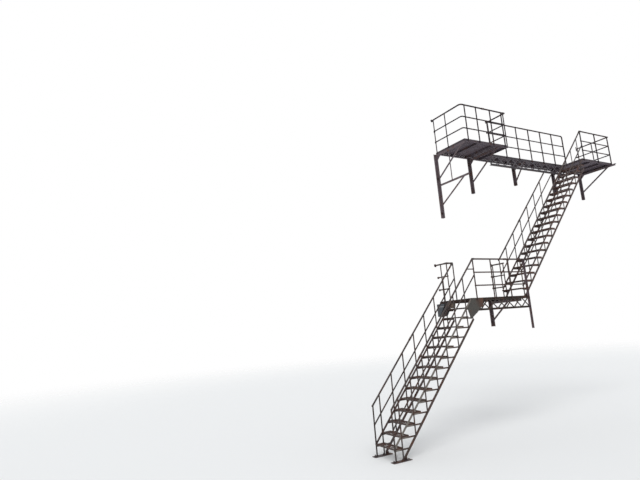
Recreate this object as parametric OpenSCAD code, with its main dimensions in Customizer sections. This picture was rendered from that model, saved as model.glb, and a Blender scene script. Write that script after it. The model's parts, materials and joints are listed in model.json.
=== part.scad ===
// Exterior fire escape stair on a building wall. An upper gallery (a deep balcony, a narrow
// walkway and a stairhead) stands on wall legs; an open steel flight leads down from it to a
// landing, and a second flight from the landing to the ground.
// Millimetres. The wall face is Y = 0 and the stair stands out towards -Y, X runs right along
// the wall. Levels are counted from the ground, and the whole model is lowered by mount_z, so
// that the origin lies on the back face of the first wall leg.

/* [Levels] */
// Walking level of the upper gallery above the ground
upper_z = 6760; // [6400:10:7000]
// Walking level of the lower landing above the ground
landing_z = 2960; // [2800:10:3100]
// Height of the origin on the first wall leg above the ground
mount_z = 5600; // [5500:10:5650]

/* [Plan] */
// Left edge of the balcony from the centre of the first wall leg
balcony_x = 60; // [50:1:80]
// Right edge of the balcony, where the walkway begins
walk_x = 1560; // [1500:10:1650]
// Left edge of the stairhead, where the upper flight arrives
head_x = 4640; // [4600:10:4700]
// Right edge of the stairhead
end_x = 6060; // [6045:1:6100]
// Left edge of the landing, where the lower flight arrives
land_x1 = -400; // [-450:5:-350]
// Right edge of the landing
land_x2 = 1480; // [1460:5:1600]
// How far the balcony, the stairhead and the landing stand out from the wall
depth = 1000; // [920:10:1050]
// How far the walkway stands out from the wall, and the gap between the wall and the flights
walk_d = 400; // [360:5:440]

/* [Flights] */
// Number of risers of the upper flight
upper_risers = 20; // [20:1:21]
// Horizontal going of each upper tread
upper_run = 176; // [173:1:180]
// Number of risers of the lower flight
lower_risers = 15; // [14:1:16]
// Height of the first riser of the lower flight
lower_first = 240; // [215:5:260]
// Horizontal going of each lower tread
lower_run = 176; // [173:0.5:178]
// Depth of a tread from front to back
tread_d = 204; // [195:1:215]
// Height of the bars that edge a tread
tread_h = 26; // [24:1:32]
// Vertical drop from the nosing line to the bottom chord, upper flight
upper_drop = 335; // [290:5:350]
// Vertical drop from the nosing line to the bottom chord, lower flight
lower_drop = 485; // [440:5:495]

/* [Railing] */
// Height of the top rail above a deck
rail_h = 870; // [845:5:900]
// Height of the top rail above the walkway
walk_rail_h = 905; // [870:5:930]
// Height of the top rail above the stairhead
head_rail_h = 820; // [800:5:870]
// Height of a flight's handrail above its nosing line
hand_h = 690; // [660:5:740]
// Diameter of the top rail and of the handrails
rail_dia = 36; // [32:1:42]
// Height of the bars of the middle rails
mid_h = 30; // [24:1:36]
// Leg of the angle that makes a railing post
post_w = 34; // [30:1:40]

/* [Sections] */
// Depth of the edge bars of a deck
edge_h = 60; // [54:1:66]
// Width of a deck slat
slat_w = 42; // [36:1:45]
// Distance from slat to slat
slat_pitch = 54; // [52:1:60]
// Depth of the lattice girder along the walkway
walk_girder_h = 310; // [280:5:330]
// Depth of the lattice girder along the landing
land_girder_h = 285; // [260:5:300]
// Width of a lattice bar
lace_w = 30; // [24:1:34]
// Width of the chords of a stair string
chord_w = 50; // [45:1:55]

/* [Wall legs] */
// Distances of the wall legs from the first one
leg_x = [0, 1170, 2890, 4620, 5940];
// Heights of the lower ends of the wall legs
leg_foot = [5020, 5740, 6100, 5950, 5880];
// Leg of the angle that makes a wall leg
leg_w = 70; // [64:1:76]
// Diameter of the holes for the wall bolts
bolt_d = 18; // [14:1:22]
// Height of the second, lower arm on the first wall leg
low_arm_z = 5900; // [5870:5:5930]

/* [Hidden] */
$fn = 48;
iron = [0.16, 0.14, 0.14];
worn = [0.22, 0.20, 0.20];
rusty = [0.33, 0.20, 0.16];
grey = [0.45, 0.46, 0.46];
arm_h = 60;
leg_t = 7;
upper_rise = (upper_z - landing_z) / upper_risers;
lower_rise = (landing_z - lower_first) / (lower_risers - 1);
upper_slope = upper_rise / upper_run;
lower_slope = lower_rise / lower_run;
// first nosing of each flight, as [x, z]
upper_start = [head_x - (upper_risers - 1) * upper_run, landing_z + upper_rise];
lower_start = [land_x1 - (lower_risers - 1) * lower_run, lower_first];
in_y = -walk_d;
out_y = -depth;
newel_in = 60;
foot_newel = lower_start[0] + 18;
bend_r = 50;
mids = [0.316, 0.655];
// bolt rows of the wall legs, as [centre height, spacing]
leg_bolts = [[5600, 900], [6180, 760], [6360, 400], [6290, 540], [6260, 640]];

// where the lower flight's handrails reach the landing's top rail, and its posts
land_newel = land_x1 + (rail_h - hand_h) / lower_slope;
lower_posts = [for (i = [0:6]) foot_newel + 176 + i * 345];

// height of a flight's nosing line at x, and its inverse
function nose(start, slope, x) = start[1] + (x - start[0]) * slope;
function nose_x(start, slope, z) = start[0] + (z - start[1]) / slope;

module placed() { translate([0, 0, -mount_z]) children(); }

// flat bar between two points of a plane of constant y, points as [x, z]
module bar_xz(p, q, w, t, y) {
  a = atan2(q[1] - p[1], q[0] - p[0]);
  translate([p[0], y, p[1]]) rotate([0, -a, 0]) translate([0, 0, -w / 2])
    cube([norm(q - p), t, w]);
}

// flat bar between two points of a plane of constant x, points as [y, z]
module bar_yz(p, q, w, t, x) {
  a = atan2(q[1] - p[1], q[0] - p[0]);
  translate([x, p[0], p[1]]) rotate([a, 0, 0]) translate([0, 0, -w / 2])
    cube([t, norm(q - p), w]);
}

// round bar between two points in space
module pipe(p, q, d) {
  v = q - p;
  translate(p) rotate([0, acos(v[2] / norm(v)), atan2(v[1], v[0])])
    cylinder(h = norm(v), d = d);
}

// upright angle; its heel is at the origin and its legs run to +x and to sy * y
module upright(w, t, z1, z2, sy = 1) {
  translate([0, sy > 0 ? 0 : -t, z1]) cube([w, t, z2 - z1]);
  translate([0, sy > 0 ? 0 : -w, z1]) cube([t, w, z2 - z1]);
}

// deck of lengthwise slats on cross bearers, inside a frame that is open at the wall
module deck(x1, x2, d, z) {
  front = -d + 6;
  count = round((d - 30) / slat_pitch);
  for (i = [0:count - 1])
    translate([x1 + 4, -26 - slat_w - i * (d - 44 - slat_w) / (count - 1), z - 8])
      cube([x2 - x1 - 8, slat_w, 8]);
  for (x = [x1, x2 - 6]) translate([x, front, z - edge_h]) cube([6, d - 6 - edge_h, edge_h]);
  translate([x1, front, z - edge_h]) cube([x2 - x1, 6, edge_h]);
  translate([x1, front, z - edge_h]) cube([x2 - x1, 40, 6]);
  bays = max(2, ceil((x2 - x1) / 560));
  for (i = [1:bays - 1])
    translate([x1 + i * (x2 - x1) / bays - 4, front + 2, z - edge_h + 6])
      cube([8, d - 14, edge_h - 13]);
  for (x = [x1 + 5, x2 - 13])
    translate([x, front + 2, z - edge_h + 6]) cube([8, d - 14, edge_h - 13]);
}

// angle bolted flat on the wall, with a shelf that carries the cross bearers
module ledger(x1, x2, z) {
  translate([x1, -6, z - edge_h]) cube([x2 - x1, 6, edge_h]);
  translate([x1, -edge_h + 0.5, z - edge_h]) cube([x2 - x1, edge_h - 0.5, 6]);
}

// lattice girder in a plane of constant y: two angle chords, crossing flat bars between them
module girder(x1, x2, y, z, h, bays) {
  step = (x2 - x1) / bays;
  zb = z - h;
  translate([x1, y, z - edge_h]) cube([x2 - x1, 6, edge_h]);
  translate([x1, y, zb]) cube([x2 - x1, 6, 45]);
  translate([x1, y, zb]) cube([x2 - x1, 45, 6]);
  for (i = [0:bays - 1], up = [0, 1])
    bar_xz([x1 + (i + up) * step, zb + 25], [x1 + (i + 1 - up) * step, z - 25],
      lace_w, 5, y + 5.5);
  for (x = [x1, x2 - 30]) translate([x, y, zb]) cube([30, 10, h]);
}

// railing along local x, outside towards -y, with z = 0 on the deck, on angle posts or flat
// ones; the round rail and the middle bars start at x1, and the round rail runs past its ends
// by a and b
module railing(length, posts, h = rail_h, x1 = 0, a = 0, b = 0, flat = false) {
  for (p = posts) translate([p, 0, 0])
    if (flat) translate([0, -8, -edge_h]) cube([28, 8, h + edge_h]);
    else upright(post_w, 5, -edge_h, h, -1);
  for (m = mids) translate([x1, -0.5, h * m - mid_h / 2]) cube([length - x1, 6.5, mid_h]);
  translate([x1 - a, -post_w / 2, h]) rotate([0, 90, 0])
    cylinder(h = length - x1 + a + b, d = rail_dia);
}

// closes the corner of two round rails
module ball(x, y, z) { translate([x, y, z]) sphere(d = rail_dia); }

// quarter turn of the round rail and the middle bars about the origin, from -x round to -y
module bend(h) {
  translate([0, 0, h]) rotate([0, 0, 180]) rotate_extrude(angle = 90)
    translate([bend_r + post_w / 2, 0]) circle(d = rail_dia);
  for (m = mids) translate([0, 0, h * m]) rotate([0, 0, 180]) rotate_extrude(angle = 90)
    translate([bend_r - 6, -mid_h / 2]) square([6.5, mid_h]);
}

// string of a flight in a plane of constant y: chords, and a cleat angle under every tread.
// side is 1 when the treads lie towards +y
module string(start, slope, count, drop, y, side, xfoot, xtop, xfoot_low, rise) {
  ot = 18;
  ob = drop - chord_w / 2 * sqrt(1 + slope * slope);
  yb = side > 0 ? y : y - 8;
  bar_xz([xfoot, nose(start, slope, xfoot) - ot], [xtop, nose(start, slope, xtop) - ot],
    40, 8, yb);
  bar_xz([xfoot_low, nose(start, slope, xfoot_low) - ob],
    [xtop, nose(start, slope, xtop) - ob], chord_w, 8, yb);
  yc = side > 0 ? y + 7.5 : y - 12.5;
  yf = side > 0 ? y + 7.5 : y - 40;
  for (i = [0:count - 1]) {
    zc = start[1] + i * rise - tread_h;
    xa = max(xfoot, nose_x(start, slope, zc + ot));
    xb = min(xtop, nose_x(start, slope, zc + ob));
    translate([xa, yc, zc - 30]) cube([xb - xa, 5, 30]);
    translate([xa + 12, yf, zc - 5]) cube([min(tread_d - 6, xb - xa - 12), 32.5, 5]);
  }
}

// open tread of four slats; nosing at the origin, going towards +x, width along +y
module tread(w) {
  for (y = [0, w - 6]) translate([0, y, -tread_h]) cube([tread_d, 6, tread_h]);
  translate([2, w / 2 - 3, -tread_h + 6]) cube([tread_d - 4, 6, tread_h - 10]);
  for (x = [0, tread_d - 6]) translate([x, 0, -tread_h]) cube([6, w, tread_h]);
  for (i = [0:3]) translate([1 + i * (tread_d - 34) / 3, 1, -6]) cube([32, w - 2, 6]);
}

module treads(start, count, rise, run) {
  for (i = [0:count - 1])
    translate([start[0] + i * run, out_y + 8.5, start[1] + i * rise])
      tread(depth - walk_d - 17);
}

// handrail of a flight: round rail, one middle bar, and flat posts down to the bottom chord.
// y is the outside face of the string, side is -1 when outside is towards -y
module handrail(start, slope, drop, y, side, x0, z0, xtop, ztop, posts, mid_end) {
  yp = side < 0 ? y - 8 : y;
  yr = y + side * post_w / 2;
  mid = hand_h * 0.47;
  low = [x0, yr, nose(start, slope, x0) + hand_h];
  high = [xtop, yr, ztop];
  pitch = (ztop - low[2]) / (xtop - x0);
  pipe(low, high, rail_dia);
  translate(low) sphere(d = rail_dia + 4);
  translate([x0 - 15, yp, z0]) cube([30, 8, low[2] - z0]);
  for (x = posts) {
    z = nose(start, slope, x) - drop + 52;
    translate([x - 14, yp, z]) cube([28, 8, low[2] + (x - x0) * pitch - 8 - z]);
  }
  bar_xz([x0, nose(start, slope, x0) + mid], [mid_end, nose(start, slope, mid_end) + mid],
    mid_h, 6, side < 0 ? y - 13.5 : y + 7.5);
}

// wall leg with two bolt holes, the arm under a deck and the strut that props it
module wall_bracket(i, top, reach, foot, tip, tail = 0) {
  zb = leg_foot[i];
  b = leg_bolts[i];
  xw = leg_w / 2;
  translate([leg_x[i], 0, 0]) {
    difference() {
      union() {
        translate([-xw, -leg_t, zb]) cube([leg_w, leg_t, top - zb]);
        translate([xw - leg_t, -leg_w, zb]) cube([leg_t, leg_w, top - zb]);
      }
      for (s = [-1, 1]) translate([0, 1, b[0] + s * b[1] / 2]) rotate([90, 0, 0])
        cylinder(h = leg_t + 2, d = bolt_d);
    }
    translate([xw - 0.5, -reach - tail, top - arm_h]) cube([7.5, reach + tail - 1, arm_h]);
    translate([xw - 0.5, -reach - tail, top - 7]) cube([60, reach + tail - 1, 7]);
    bar_yz([tip, top - arm_h / 2 - 5], [-18, foot], 44, 8, xw - 0.5);
  }
}

module balcony_deck() { color(iron) placed() deck(balcony_x, walk_x, depth + 6, upper_z); }
module walkway_deck() { color(iron) placed() deck(walk_x + 1, head_x - 1, walk_d, upper_z); }
module stairhead_deck() { color(iron) placed() deck(head_x, end_x, depth + 6, upper_z); }
module gallery_ledger() { color(iron) placed() ledger(balcony_x, end_x, upper_z); }
module walkway_girder() {
  color(iron) placed() girder(walk_x, head_x - 2, in_y, upper_z, walk_girder_h, 11);
}

module wall_bracket_1() {
  top = upper_z - edge_h;
  xw = leg_w / 2;
  color(iron) placed() {
    wall_bracket(0, top, depth, 6040, -920);
    // second arm, lower on the same leg, with its own strut and a hanger between the arms
    translate([xw - 0.5, -depth - 20, low_arm_z - 50]) cube([7.5, depth + 19, 50]);
    bar_yz([-870, low_arm_z - 28], [-14, 5350], 40, 8, xw - 0.5);
    translate([xw + 6.5, -470, low_arm_z - 45]) cube([6, 26, top - low_arm_z + 39]);
  }
}
module wall_bracket_2() {
  color(iron) placed() wall_bracket(1, upper_z - edge_h, depth - 10, 6040, -920);
}
module wall_bracket_3() {
  color(iron) placed() wall_bracket(2, upper_z - edge_h, walk_d - 7, 6200, -370);
}
module wall_bracket_4() {
  color(iron) placed() wall_bracket(3, upper_z - edge_h, walk_d - 7, 6200, -370);
}
module wall_bracket_5() {
  color(iron) placed() wall_bracket(4, upper_z - edge_h, depth, 6110, -930, 150);
}

module balcony_left_rail() {
  color(iron) placed() translate([balcony_x, -12, upper_z]) rotate([0, 0, -90])
    railing(depth - 12 - bend_r, [20, 430], flat = true);
}
module balcony_front_rail() {
  length = walk_x - balcony_x;
  color(iron) placed() {
    translate([balcony_x, out_y, upper_z])
      railing(length, [110, 495, 980, length - 110], x1 = bend_r, b = post_w / 2);
    translate([balcony_x + bend_r, out_y + bend_r, upper_z]) bend(rail_h);
    ball(walk_x + post_w / 2, out_y - post_w / 2, upper_z + rail_h);
  }
}
module balcony_return_rail() {
  color(iron) placed() translate([walk_x, out_y, upper_z]) rotate([0, 0, 90])
    railing(depth - walk_d - 6, [0, depth - walk_d - 2 * post_w], a = post_w / 2, flat = true);
}
// its round rail turns down at the stairhead and stands on that deck
module walkway_rail() {
  length = head_x - walk_x + 130;
  color(iron) placed() translate([walk_x, in_y, upper_z]) {
    railing(length, [70, for (i = [1:5]) length - i * 510], walk_rail_h, b = -bend_r);
    translate([length - bend_r, -post_w / 2, walk_rail_h - bend_r]) rotate([90, 0, 0])
      rotate_extrude(angle = 90) translate([bend_r, 0]) circle(d = rail_dia);
    translate([length, -post_w / 2, 0]) cylinder(h = walk_rail_h - bend_r, d = rail_dia);
  }
}
module stairhead_front_rail() {
  newel = head_x + newel_in;
  color(iron) placed() {
    translate([newel, out_y, upper_z]) railing(end_x - newel,
      [0, (end_x - newel) / 2, end_x - newel - post_w], head_rail_h, b = post_w / 2);
    ball(newel, out_y - post_w / 2, upper_z + head_rail_h);
    ball(end_x + post_w / 2, out_y - post_w / 2, upper_z + head_rail_h);
  }
}
module stairhead_end_rail() {
  color(iron) placed() translate([end_x, out_y, upper_z]) rotate([0, 0, 90])
    railing(depth - 12, [depth / 2 - 20, depth - 60], head_rail_h, a = post_w / 2, flat = true);
}

module upper_string_inner() {
  color(iron) placed() string(upper_start, upper_slope, upper_risers - 1, upper_drop,
    in_y - 1, -1, upper_start[0] + newel_in - 15, head_x - 4,
    nose_x(upper_start, upper_slope, landing_z + upper_drop + 10), upper_rise);
}
module upper_string_outer() {
  color(iron) placed() string(upper_start, upper_slope, upper_risers - 1, upper_drop,
    out_y, 1, upper_start[0] + newel_in - 15, head_x - 4,
    nose_x(upper_start, upper_slope, landing_z + upper_drop + 10), upper_rise);
}
module upper_treads() {
  color(iron) placed() treads(upper_start, upper_risers - 1, upper_rise, upper_run);
}
module upper_handrail_inner() {
  top = nose_x(upper_start, upper_slope, upper_z - walk_girder_h - hand_h - 14);
  color(iron) placed() handrail(upper_start, upper_slope, upper_drop, in_y - 1, 1,
    upper_start[0] + newel_in, landing_z, top, nose(upper_start, upper_slope, top) + hand_h,
    [for (i = [1:6]) upper_start[0] + i * 2 * upper_run + 20], top + 300);
}
module upper_handrail_outer() {
  newel = head_x + newel_in;
  color(iron) placed() handrail(upper_start, upper_slope, upper_drop, out_y, -1,
    upper_start[0] + newel_in, landing_z, newel, upper_z + head_rail_h,
    [for (i = [1:9]) upper_start[0] + i * 2 * upper_run + 20], newel);
}

module landing_deck() { color(iron) placed() deck(land_x1, land_x2, depth, landing_z); }
module landing_ledger() { color(iron) placed() ledger(land_x1, land_x2, landing_z); }
module landing_girder() {
  color(iron) placed() girder(land_x1, land_x2, out_y, landing_z, land_girder_h, 7);
}
module landing_front_rail() {
  color(iron) placed() {
    translate([land_newel, out_y, landing_z])
      railing(land_x2 - land_newel, [0, 560, 1130]);
    ball(land_newel, out_y - post_w / 2, landing_z + rail_h);
  }
}
// guard between the wall and the lower flight, and the level rail on to that flight's newel
module landing_left_guard() {
  x = land_x1 - post_w / 2;
  y = in_y + post_w / 2 - 1;
  color(iron) placed() {
    translate([land_x1, -12, landing_z]) rotate([0, 0, -90])
      railing(-12 - y, [140, -12 - y - post_w], flat = true);
    ball(x, y, landing_z + rail_h);
    pipe([x, y, landing_z + rail_h], [land_newel, y, landing_z + rail_h], rail_dia);
  }
}
module landing_right_guard() {
  color(iron) placed() translate([land_x2, in_y, landing_z]) rotate([0, 0, 90])
    railing(walk_d - 12, [0, walk_d - 60], flat = true);
}
module landing_corner_post() {
  color(iron) placed() translate([land_x2, out_y, 0]) mirror([1, 0, 0])
    upright(40, 5, 2190, landing_z + rail_h, -1);
}
module landing_bracket_left() {
  x = land_x1 - 110;
  z = landing_z - edge_h;
  color(grey) placed() {
    difference() {
      translate([x, -10, z - 290]) cube([250, 10, 290]);
      for (i = [0, 1], k = [0, 1])
        translate([x + 40 + i * 170, 1, z - 245 + k * 170]) rotate([90, 0, 0])
          cylinder(h = 12, d = bolt_d);
    }
    translate([x, -250, z - 10]) cube([250, 249, 10]);
    for (dx = [0, 242]) translate([x + dx, 0, z]) rotate([90, 0, 90])
      linear_extrude(8) polygon([[-1, -1], [-250, -1], [-250, -40], [-60, -280], [-1, -280]]);
  }
}
module landing_bracket_right() {
  top = landing_z - edge_h;
  x = land_x2 - 240;
  color(iron) placed() translate([x, 0, 0]) {
    difference() {
      union() {
        translate([-35, -leg_t, top - 620]) cube([70, leg_t, 620]);
        translate([28, -70, top - 620]) cube([leg_t, 70, 620]);
      }
      for (dz = [120, 520]) translate([0, 1, top - dz]) rotate([90, 0, 0])
        cylinder(h = leg_t + 2, d = bolt_d);
    }
    translate([34.5, -depth + 50, top - arm_h]) cube([7.5, depth - 51, arm_h]);
    translate([34.5, -depth + 50, top - 7]) cube([60, depth - 51, 7]);
    bar_yz([-560, top - 34], [-14, top - 480], 44, 8, 34.5);
  }
}

module lower_string_inner() {
  color(iron) placed() string(lower_start, lower_slope, lower_risers - 1, lower_drop,
    in_y - 1, -1, foot_newel - 15, land_x1 - 4,
    nose_x(lower_start, lower_slope, lower_drop + 14), lower_rise);
}
module lower_string_outer() {
  color(rusty) placed() string(lower_start, lower_slope, lower_risers - 1, lower_drop,
    out_y, 1, foot_newel - 15, land_x1 - 4,
    nose_x(lower_start, lower_slope, lower_drop + 14), lower_rise);
}
// plates that join the strings to the landing, the outer one large and the inner one small
module lower_gusset() {
  color(grey) placed() translate([land_x1, 0, landing_z]) rotate([90, 0, 0]) {
    translate([0, 0, depth]) linear_extrude(10) polygon([[34, -4], [-158, -221], [-87, -454],
      [134, -316], [225, -238], [340, -178], [358, -4]]);
    translate([0, 0, walk_d - 8]) linear_extrude(8) polygon([[-32, -4], [-162, -71],
      [-129, -177], [76, -186], [116, -4]]);
  }
}
module lower_treads() {
  color(iron) placed() treads(lower_start, lower_risers - 1, lower_rise, lower_run);
}
module lower_handrail_inner() {
  color(iron) placed() {
    handrail(lower_start, lower_slope, lower_drop, in_y - 1, 1, foot_newel, 10,
      land_newel, landing_z + rail_h, lower_posts, land_newel);
    translate([land_newel - 15, in_y - 1, landing_z]) cube([30, 8, rail_h]);
  }
}
// with a level bar across from the rail to the landing's newel
module lower_handrail_outer() {
  color(worn) placed() {
    handrail(lower_start, lower_slope, lower_drop, out_y, -1, foot_newel, 10,
      land_newel, landing_z + rail_h, lower_posts, land_newel);
    z = landing_z + rail_h - 230;
    x = nose_x(lower_start, lower_slope, z - hand_h);
    translate([x, out_y - 13.5, z - 12]) cube([land_newel - x + 3, 6, 24]);
  }
}

// base plate under a newel and the foot of its string, with two anchor holes
module foot_plate(y) {
  x = foot_newel - 80;
  color(rusty) placed() difference() {
    translate([x, y - 60, 0]) cube([420, 120, 10]);
    for (dx = [35, 235]) translate([x + dx, y, -1]) cylinder(h = 12, d = bolt_d);
  }
}
module foot_plate_inner() { foot_plate(in_y); }
module foot_plate_outer() { foot_plate(out_y); }

balcony_deck();
walkway_deck();
stairhead_deck();
gallery_ledger();
walkway_girder();
wall_bracket_1();
wall_bracket_2();
wall_bracket_3();
wall_bracket_4();
wall_bracket_5();
balcony_left_rail();
balcony_front_rail();
balcony_return_rail();
walkway_rail();
stairhead_front_rail();
stairhead_end_rail();
upper_string_inner();
upper_string_outer();
upper_treads();
upper_handrail_inner();
upper_handrail_outer();
landing_deck();
landing_ledger();
landing_girder();
landing_front_rail();
landing_left_guard();
landing_right_guard();
landing_corner_post();
landing_bracket_left();
landing_bracket_right();
lower_string_inner();
lower_string_outer();
lower_gusset();
lower_treads();
lower_handrail_inner();
lower_handrail_outer();
foot_plate_inner();
foot_plate_outer();
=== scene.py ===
import bpy
import json
from math import atan2, ceil, cos, hypot, radians, sin
from mathutils import Matrix, Vector


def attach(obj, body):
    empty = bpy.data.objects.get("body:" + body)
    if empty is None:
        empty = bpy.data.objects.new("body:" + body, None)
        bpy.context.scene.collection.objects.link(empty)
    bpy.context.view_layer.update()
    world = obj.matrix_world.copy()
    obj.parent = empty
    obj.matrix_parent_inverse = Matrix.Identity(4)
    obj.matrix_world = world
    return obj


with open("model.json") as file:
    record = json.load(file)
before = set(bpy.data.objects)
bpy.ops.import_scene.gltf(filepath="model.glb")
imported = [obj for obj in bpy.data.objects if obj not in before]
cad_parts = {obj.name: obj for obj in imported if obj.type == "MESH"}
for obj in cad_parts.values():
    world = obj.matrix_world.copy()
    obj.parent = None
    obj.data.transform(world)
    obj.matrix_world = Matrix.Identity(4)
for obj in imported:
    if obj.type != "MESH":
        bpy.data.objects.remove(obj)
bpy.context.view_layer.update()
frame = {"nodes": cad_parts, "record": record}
scene = bpy.context.scene
cad = frame["nodes"]
scene.view_settings.view_transform = "Standard"
print("frame loaded,", len(cad), "nodes")

# levels, edges and depths of the stair, in metres from the back of the first leg
stair = {
    "foot": -5.6, "landing": -2.64, "gallery": 1.16, "armTop": 1.10,
    "balconyX": 0.06, "walkX": 1.56, "headX": 4.64, "endX": 6.06, "landX1": -0.4, "landX2": 1.48,
    "landNewel": -0.2367, "headNewel": 4.70, "outer": -1.0, "inner": -0.4, "innerString": -0.401,
    "back": -0.012, "handHeight": 0.69, "treadDepth": 0.026,
}
flights = {
    "upper": {"x": 1.296, "z": -2.45, "rise": 0.19, "run": 0.176, "treads": 19, "drop": 0.335,
              "foot": -2.64, "outerPosts": [1.316 + 0.352 * i for i in range(1, 10)],
              "innerPosts": [1.316 + 0.352 * i for i in range(1, 7)],
              "outerEnd": (4.70, 1.98), "innerEnd": (3.7007, 0.836)},
    "lower": {"x": -2.864, "z": -5.36, "rise": 0.1942857, "run": 0.176, "treads": 14, "drop": 0.485,
              "foot": -5.59, "outerPosts": [-2.67 + 0.345 * i for i in range(7)],
              "innerPosts": [-2.67 + 0.345 * i for i in range(7)],
              "outerEnd": (-0.2369, -1.77), "innerEnd": (-0.2369, -1.77)},
}
for flight in flights.values():
    flight["slope"] = flight["rise"] / flight["run"]
    flight["chord"] = flight["drop"] - 0.025 * hypot(1, flight["slope"])  # bottom chord's centre
topChord = 0.018  # the top chord's centre below the line of the nosings

# railings: where they start, which way they run, and where their posts stand
rails = {
    "balconyLeft": {"at": ("balconyX", "back"), "turn": -90, "flat": True, "posts": [0.02, 0.43]},
    "balconyFront": {"at": ("balconyX", "outer"), "turn": 0, "length": 1.5,
                     "posts": [0.11, 0.495, 0.98, 1.39]},
    "balconyReturn": {"at": ("walkX", "outer"), "turn": 90, "flat": True, "posts": [0, 0.532]},
    "walkway": {"at": ("walkX", "inner"), "turn": 0, "length": 3.21,
                "posts": [0.07] + [3.21 - 0.51 * i for i in range(1, 6)]},
    "headFront": {"at": ("headNewel", "outer"), "turn": 0, "posts": [0, 0.68, 1.326]},
    "headEnd": {"at": ("endX", "outer"), "turn": 90, "flat": True, "posts": [0.48, 0.94]},
    "landingFront": {"at": ("landNewel", "outer"), "turn": 0, "length": 1.7167, "posts": [0, 0.56, 1.13]},
    "landingLeft": {"at": ("landX1", "back"), "turn": -90, "flat": True, "posts": [0.14, 0.338]},
    "landingRight": {"at": ("landX2", "inner"), "turn": 90, "flat": True, "length": 0.388,
                     "posts": [0, 0.34]},
}
railHeights = {"balcony": 0.87, "walkway": 0.905, "head": 0.82, "landing": 0.87}
for name, rail in rails.items():
    rail["at"] = [stair[edge] for edge in rail["at"]]
    part = next(part for part in railHeights if name.startswith(part))
    rail["height"] = railHeights[part]
    rail["deck"] = stair["landing" if part == "landing" else "gallery"]
    rail["top"] = rail["deck"] + rail["height"]
railShares = (0.316, 0.655)  # heights of the middle bars as shares of the rail's height
pipeOut = 0.017  # the round rail's centre stands this far outside a railing's line


def noseAt(flight, x):
    return flight["z"] + (x - flight["x"]) * flight["slope"]


def noseX(flight, z):
    return flight["x"] + (z - flight["z"]) / flight["slope"]


def onRail(rail, along, out, z):
    # a point of a railing; out is the distance outside its line
    a = radians(rail["turn"])
    return Vector((rail["at"][0] + along * cos(a) + out * sin(a),
                   rail["at"][1] + along * sin(a) - out * cos(a), rail["deck"] + z))


def outward(rail):
    a = radians(rail["turn"])
    return Vector((sin(a), -cos(a), 0))


def spot(point, toward=(0, -1, 0), turn=0):
    # a place for a copied part, whose own Z then points toward
    return (Matrix.Translation(point) @ Vector(toward).to_track_quat("Z", "Y").to_matrix().to_4x4()
            @ Matrix.Rotation(radians(turn), 4, "Z"))


def shift(x, y, z):
    return Matrix.Translation((x, y, z))


def quarter(axis, sign=1):
    return Matrix.Rotation(radians(90 * sign), 4, axis)


class Value:
    def __init__(self, finish, socket):
        self.finish, self.socket = finish, socket

    def maths(self, operation, other, swap=False):
        pair = (other, self) if swap else (self, other)
        return self.finish.add("ShaderNodeMath", {"operation": operation}, {0: pair[0], 1: pair[1]})

    def __add__(self, other): return self.maths("ADD", other)
    def __radd__(self, other): return self.maths("ADD", other, True)
    def __sub__(self, other): return self.maths("SUBTRACT", other)
    def __rsub__(self, other): return self.maths("SUBTRACT", other, True)
    def __mul__(self, other): return self.maths("MULTIPLY", other)
    def __rmul__(self, other): return self.maths("MULTIPLY", other, True)


class Finish:
    def __init__(self, name):
        self.material = bpy.data.materials.new(name)
        self.material.use_nodes = True
        self.tree = self.material.node_tree
        self.tree.nodes.clear()
        self.output = self.tree.nodes.new("ShaderNodeOutputMaterial")
        self.shader = self.tree.nodes.new("ShaderNodeBsdfPrincipled")
        self.tree.links.new(self.shader.outputs[0], self.output.inputs["Surface"])

    def add(self, kind, settings=None, inputs=None, out=0):
        node = self.tree.nodes.new(kind)
        for key, setting in (settings or {}).items():
            setattr(node, key, setting)
        for key, given in (inputs or {}).items():
            if isinstance(given, Value):
                self.tree.links.new(given.socket, node.inputs[key])
            else:
                node.inputs[key].default_value = given
        return Value(self, node.outputs[out])

    def part(self, vector, axis):
        return self.add("ShaderNodeSeparateXYZ", None, {0: vector}, axis)

    def noise(self, where, scale, detail=4, rough=0.6, twist=0.0):
        return self.add("ShaderNodeTexNoise", None, {"Vector": where, "Scale": scale, "Detail": detail,
                                                     "Roughness": rough, "Distortion": twist})

    def cells(self, where, scale, out=0):
        return self.add("ShaderNodeTexVoronoi", None, {"Vector": where, "Scale": scale}, out)

    def rise(self, value, low, high):
        return self.add("ShaderNodeMapRange", {"interpolation_type": "SMOOTHSTEP"},
                        {"Value": value, "From Min": low, "From Max": high})

    def mix(self, amount, first, second):
        fill = lambda c: c if isinstance(c, Value) else (*c, 1)
        return self.add("ShaderNodeMix", {"data_type": "RGBA"},
                        {0: amount, 6: fill(first), 7: fill(second)}, 2)

    def distance(self, where, point):
        return self.add("ShaderNodeVectorMath", {"operation": "DISTANCE"}, {0: where, 1: point}, "Value")

    def feed(self, **sockets):
        for name, value in sockets.items():
            target = self.shader.inputs[name.replace("_", " ")]
            if isinstance(value, Value):
                self.tree.links.new(value.socket, target)
            else:
                target.default_value = value


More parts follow.
